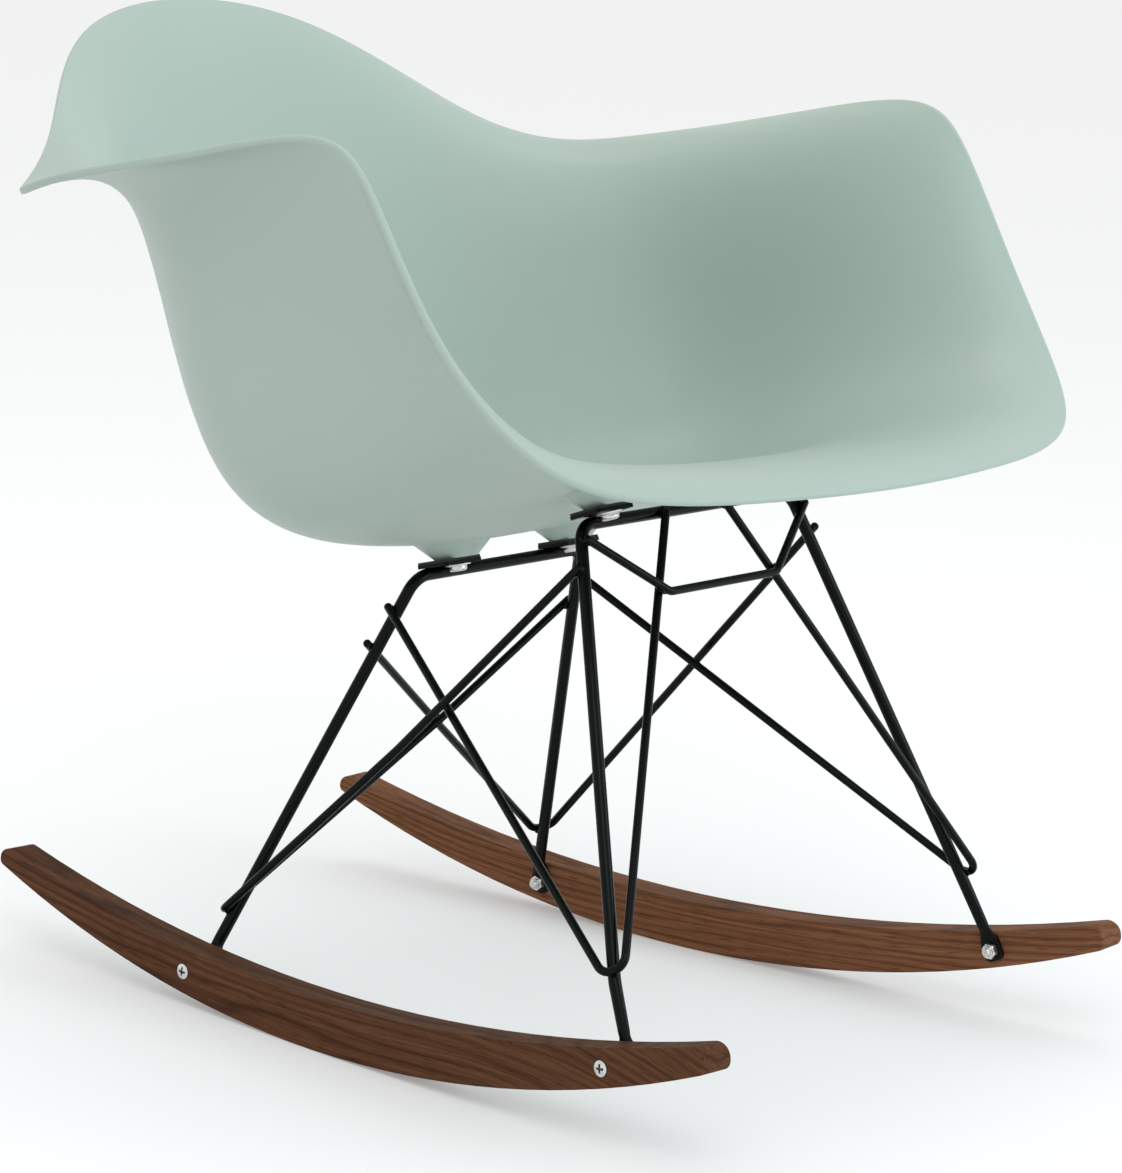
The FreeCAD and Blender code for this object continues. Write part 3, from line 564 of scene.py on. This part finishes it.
def makeHoop(end):
    look = hoopLook
    own = look[end]
    thick = look["rocker"]["thick"]
    rod = look["rod"]
    tongueWide, tongueDeep = look["tongue"]
    along, height = own["bolt"], boltHeight(own["bolt"])
    ahead, gap, rise = own["beside"]
    bent = besideRocker(along + ahead, thick + rod + gap, height + rise)
    bar = np.array(own["bar"]) + (0, 0, look["seat"])
    hole = besideRocker(along, thick + look["gap"] + tongueDeep, height)
    forward = besideRocker(1, 0, 0) - besideRocker(0, 0, 0)
    inward = besideRocker(0, 1, 0) - besideRocker(0, 0, 0)
    up = unit(forward * ((bent - hole) @ forward) + np.array([0, 0, bent[2] - height]))
    across = np.cross(up, inward)
    if end == "rear":
        ankle, line = bent, [bent, bar]
    else:
        joint = hole + up * look["tongueTo"]
        ankle = joint + unit(bent - joint) * own["taper"]
        line = [ankle, bent, bar]

    # path: the round toe, a curve with a given direction at both ends, and the bent wire
    start = hole + up * look["wideTo"]
    leave = unit(line[1] - line[0])
    span = np.linalg.norm(ankle - start)
    share = np.linspace(0, 1, 22)[:, None]
    blend = ((2 * share ** 3 - 3 * share ** 2 + 1) * start + (share ** 3 - 2 * share ** 2 + share) * up * span
             + (3 * share ** 2 - 2 * share ** 3) * ankle + (share ** 3 - share ** 2) * leave * span)
    roundToe = look["corner"] * (1 - np.cos(np.linspace(0, 1, 9) * np.pi / 2)) - look["toe"]
    tongue = hole + up * np.concatenate([roundToe, [-1.0, 2.0]])[:, None]
    mirror = np.array([-1, 1, 1])
    bends = [look["kneeBend"]] * (len(line) - 2) + [look["barBend"]]
    runs = bentRuns(line + [point * mirror for point in line[::-1]], bends + bends[::-1])
    half = np.concatenate([tongue, blend])
    centres = np.concatenate([half, runs[1:-1], half[::-1] * mirror])

    # section: half width, half depth and power at every level
    quick = np.minimum(share[:, 0] * look["swell"], 1)
    ease = quick ** 2 * (3 - 2 * quick)
    depth = (half - besideRocker(0, thick, 0)) @ inward
    flat = len(tongue)
    toeWide = tongueWide - look["corner"] * (1 - np.sin(np.linspace(0.02, 1, 9) * np.pi / 2))
    wide = np.concatenate([toeWide, [tongueWide] * 2, tongueWide + (rod - tongueWide) * ease])
    deep = np.concatenate([[tongueDeep] * flat, tongueDeep + (rod - tongueDeep) * ease])
    deep = np.minimum(deep, depth - look["clear"])
    power = np.concatenate([[look["tonguePower"]] * flat,
                            look["tonguePower"] + (look["rodPower"] - look["tonguePower"]) * ease])
    count = len(runs) - 2
    wide, deep, power = (np.concatenate([part, np.full(count, full), part[::-1]])
                         for part, full in ((wide, rod), (deep, rod), (power, look["rodPower"])))

    # rings square to the path, whose side turns slowly from one foot's to the other's
    heading = np.gradient(centres, axis=0)
    heading /= np.linalg.norm(heading, axis=1)[:, None]
    heading[:flat], heading[-flat:] = up, -up * mirror
    level = np.linspace(0, 1, len(centres))[:, None]
    side = across * (1 - level) + across * mirror * level
    side -= (side * heading).sum(1)[:, None] * heading
    side /= np.linalg.norm(side, axis=1)[:, None]
    other = np.cross(heading, side)
    turn = np.linspace(0, 2 * np.pi, look["round"], endpoint=False)[None, :]
    x = np.sign(np.cos(turn)) * np.abs(np.cos(turn)) ** (2 / power[:, None]) * wide[:, None]
    y = np.sign(np.sin(turn)) * np.abs(np.sin(turn)) ** (2 / power[:, None]) * deep[:, None]
    rings = centres[:, None] + x[..., None] * side[:, None] + y[..., None] * other[:, None]

    lean = math.radians(-look["lean"])
    tilt = np.array([[1, 0, 0], [0, math.cos(lean), -math.sin(lean)], [0, math.sin(lean), math.cos(lean)]])
    pivot = np.array([0, 0, look["pivot"]])
    rings = ((rings - pivot) @ tilt.T + pivot) * 0.001
    hoop = ringSurface(f"hoop_{end}", rings, False, [finishes["coat"]], sharp=50.0)
    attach(hoop, "root")
    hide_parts(f"{end}_hoop")


for end in ends:
    makeHoop(end)
print("hoops: 2 drawn")


# Weld beads: wherever two wires come within half a millimetre, an oval bead fills the corner between them.
# It is an ellipsoid whose girth rises and falls as a sine along its length, the ripples of a laid bead.

beadLook = {"along": 5.2, "across": 2.9, "thick": 2.25, "ripples": 7.0, "ripple": 0.06, "near": 0.0005,
            "apart": 0.014}
wires = ["rear_hoop", "front_hoop", "front_brace_left", "front_brace_right", "rear_brace_left",
         "rear_brace_right", "front_spreader"]


def wireArrays(name):
    mesh = nodes[name].data
    points = np.empty(len(mesh.vertices) * 3)
    mesh.vertices.foreach_get("co", points)
    edges = np.empty(len(mesh.edges) * 2, dtype=np.int32)
    mesh.edges.foreach_get("vertices", edges)
    return points.reshape(-1, 3), edges.reshape(-1, 2), [list(face.vertices) for face in mesh.polygons]


# Places where the first wire nearly touches the second: the place, the wire's run there and the way across the
# gap. Points every 0.8 mm along the first wire's edges are tried.
def contactsOf(first, second):
    points, edges = first[:2]
    start, end = points[edges[:, 0]], points[edges[:, 1]]
    length = np.linalg.norm(end - start, axis=1)
    count = np.maximum((length / 0.0008).astype(int), 1)
    which = np.repeat(np.arange(len(edges)), count)
    share = (np.arange(count.sum()) - np.repeat(np.cumsum(count) - count, count)) / count[which]
    tries = start[which] + (end - start)[which] * share[:, None]
    low, high = second[0].min(0) - 0.001, second[0].max(0) + 0.001
    inside = np.flatnonzero(((tries > low) & (tries < high)).all(1))
    tree = BVHTree.FromPolygons(second[0].tolist(), second[2])
    found = []
    for i in inside:
        spot, normal, _, gap = tree.find_nearest(tries[i], beadLook["near"])
        if spot is not None:
            found.append((gap, i, (np.array(spot) + tries[i]) / 2, np.array(normal)))
    found.sort(key=lambda item: item[0])
    kept = []
    for gap, i, middle, normal in found:
        if all(np.linalg.norm(middle - other[0]) > beadLook["apart"] for other in kept):
            near = [item for item in found if np.linalg.norm(item[2] - middle) < 0.004]
            longest = max(near, key=lambda item: length[which[item[1]]])[1]
            run = (end - start)[which[longest]] / length[which[longest]]
            kept.append((np.mean([item[2] for item in near], 0), run, normal))
    return kept


def makeBeads():
    arrays = {name: wireArrays(name) for name in wires}
    spots = []
    for i, name in enumerate(wires):
        for other in wires[:i]:
            for spot in contactsOf(arrays[name], arrays[other]):
                if all(np.linalg.norm(spot[0] - kept[0]) > beadLook["apart"] / 2 for kept in spots):
                    spots.append(spot)
    turn = np.linspace(0, 2 * np.pi, 28, endpoint=False)[None, :]
    rise = np.linspace(-0.5, 0.5, 26)[1:-1, None] * np.pi
    girth = np.cos(rise) * (1 + beadLook["ripple"] * np.sin(rise * beadLook["ripples"] * 2))
    points, faces = [], []
    steps = turn.shape[1]
    for middle, run, normal in spots:
        across = np.cross(run, normal)
        across /= np.linalg.norm(across)
        local = np.stack(np.broadcast_arrays(np.sin(rise) * beadLook["along"],
                                             girth * np.cos(turn) * beadLook["across"],
                                             girth * np.sin(turn) * beadLook["thick"]), -1)
        rings = middle + local @ np.stack([run, across, np.cross(run, across)]) * 0.001
        base = len(points)
        levels = rings.shape[0]
        points += rings.reshape(-1, 3).tolist() + [rings[0].mean(0).tolist(), rings[-1].mean(0).tolist()]
        here = np.arange(levels * steps).reshape(levels, steps) + base
        quads = np.stack([here[:-1], np.roll(here[:-1], -1, 1), np.roll(here[1:], -1, 1), here[1:]], -1)
        first, last = base + levels * steps, base + levels * steps + 1
        caps = [[int(b), int(a), first] for a, b in zip(here[0], np.roll(here[0], -1))]
        caps += [[int(a), int(b), last] for a, b in zip(here[-1], np.roll(here[-1], -1))]
        faces += [face[::-1] for face in quads.reshape(-1, 4).tolist() + caps]
    mesh = bpy.data.meshes.new("weldBeads")
    mesh.from_pydata(points, [], faces)
    mesh.materials.append(finishes["coat"])
    mesh.polygons.foreach_set("use_smooth", np.ones(len(mesh.polygons), bool))
    beads = bpy.data.objects.new("weldBeads", mesh)
    bpy.context.scene.collection.objects.link(beads)
    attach(beads, "root")
    print("weld beads:", len(spots))


makeBeads()


# Camera, lights and floor

cameraView = {"eye": (-2.51493, -2.03049, 0.93563), "heading": 51.2217, "fall": 11.543, "roll": 3.5184,
              "lens": 144.973, "shift": (0.0147, 0.0219)}
# each light: name, place, aim, size, watts, colour
studioLook = {"lights": (("overhead", (0.15, 0.35, 3.0), (0, 0, 0.2), (1.6, 1.6), 14, (1.0, 1.0, 1.0)),
                         ("frontSoft", (1.5, -3.2, 1.1), (0, 0, 0.4), (2.4, 1.6), 37, (0.67, 0.90, 1.0)),
                         ("highLeft", (-2.3, -2.1, 3.1), (0, 0, 0.4), (2.0, 2.0), 26, (0.94, 0.99, 1.0))),
              "sky": (1.0, 1.0, 0.995), "skyStrength": 0.93,
              "floor": (0.68, 0.683, 0.687), "floorHalf": 30.0, "floorGlow": 0.25}


def makeCamera():
    data = bpy.data.cameras.new("photoCamera")
    data.lens = cameraView["lens"]
    data.sensor_width = 36.0
    data.shift_x, data.shift_y = cameraView["shift"]
    data.clip_start = 0.1
    data.clip_end = 50.0
    camera = bpy.data.objects.new("photoCamera", data)
    bpy.context.scene.collection.objects.link(camera)
    heading, fall, roll = (math.radians(cameraView[k]) for k in ("heading", "fall", "roll"))
    forward = Vector((math.sin(heading) * math.cos(fall), math.cos(heading) * math.cos(fall), -math.sin(fall)))
    level = Vector((math.cos(heading), -math.sin(heading), 0))
    rise = level.cross(forward)
    right = level * math.cos(roll) + rise * math.sin(roll)
    up = rise * math.cos(roll) - level * math.sin(roll)
    camera.matrix_world = Matrix((right, up, -forward)).transposed().to_4x4()
    camera.location = cameraView["eye"]
    bpy.context.scene.camera = camera


def areaLight(name, spot, aim, size, power, colour):
    data = bpy.data.lights.new(name, "AREA")
    data.shape = "RECTANGLE"
    data.size, data.size_y = size
    data.energy = power
    data.color = colour
    light = bpy.data.objects.new(name, data)
    bpy.context.scene.collection.objects.link(light)
    light.location = spot
    light.rotation_mode = "QUATERNION"
    light.rotation_quaternion = (Vector(aim) - Vector(spot)).to_track_quat("-Z", "Y")


def makeFloor():
    half = studioLook["floorHalf"]
    mesh = bpy.data.meshes.new("studioFloor")
    mesh.from_pydata([(-half, -half, 0), (half, -half, 0), (half, half, 0), (-half, half, 0)], [], [(0, 1, 2, 3)])
    floor = bpy.data.objects.new("studioFloor", mesh)
    bpy.context.scene.collection.objects.link(floor)
    material, _, shader = newMaterial("floorPaper")
    shader.inputs["Base Color"].default_value = (*studioLook["floor"], 1)
    shader.inputs["Roughness"].default_value = 0.9
    shader.inputs["Specular IOR Level"].default_value = 0.0
    shader.inputs["Emission Color"].default_value = (1.0, 1.0, 1.0, 1)
    shader.inputs["Emission Strength"].default_value = studioLook["floorGlow"]
    mesh.materials.append(material)


def makeSky():
    world = bpy.data.worlds.new("studio")
    bpy.context.scene.world = world
    world.use_nodes = True
    background = world.node_tree.nodes["Background"]
    background.inputs["Color"].default_value = (*studioLook["sky"], 1)
    background.inputs["Strength"].default_value = studioLook["skyStrength"]


makeCamera()
makeFloor()
for light in studioLook["lights"]:
    areaLight(*light)
makeSky()
bpy.context.scene.view_settings.view_transform = "Standard"
print("stage set")
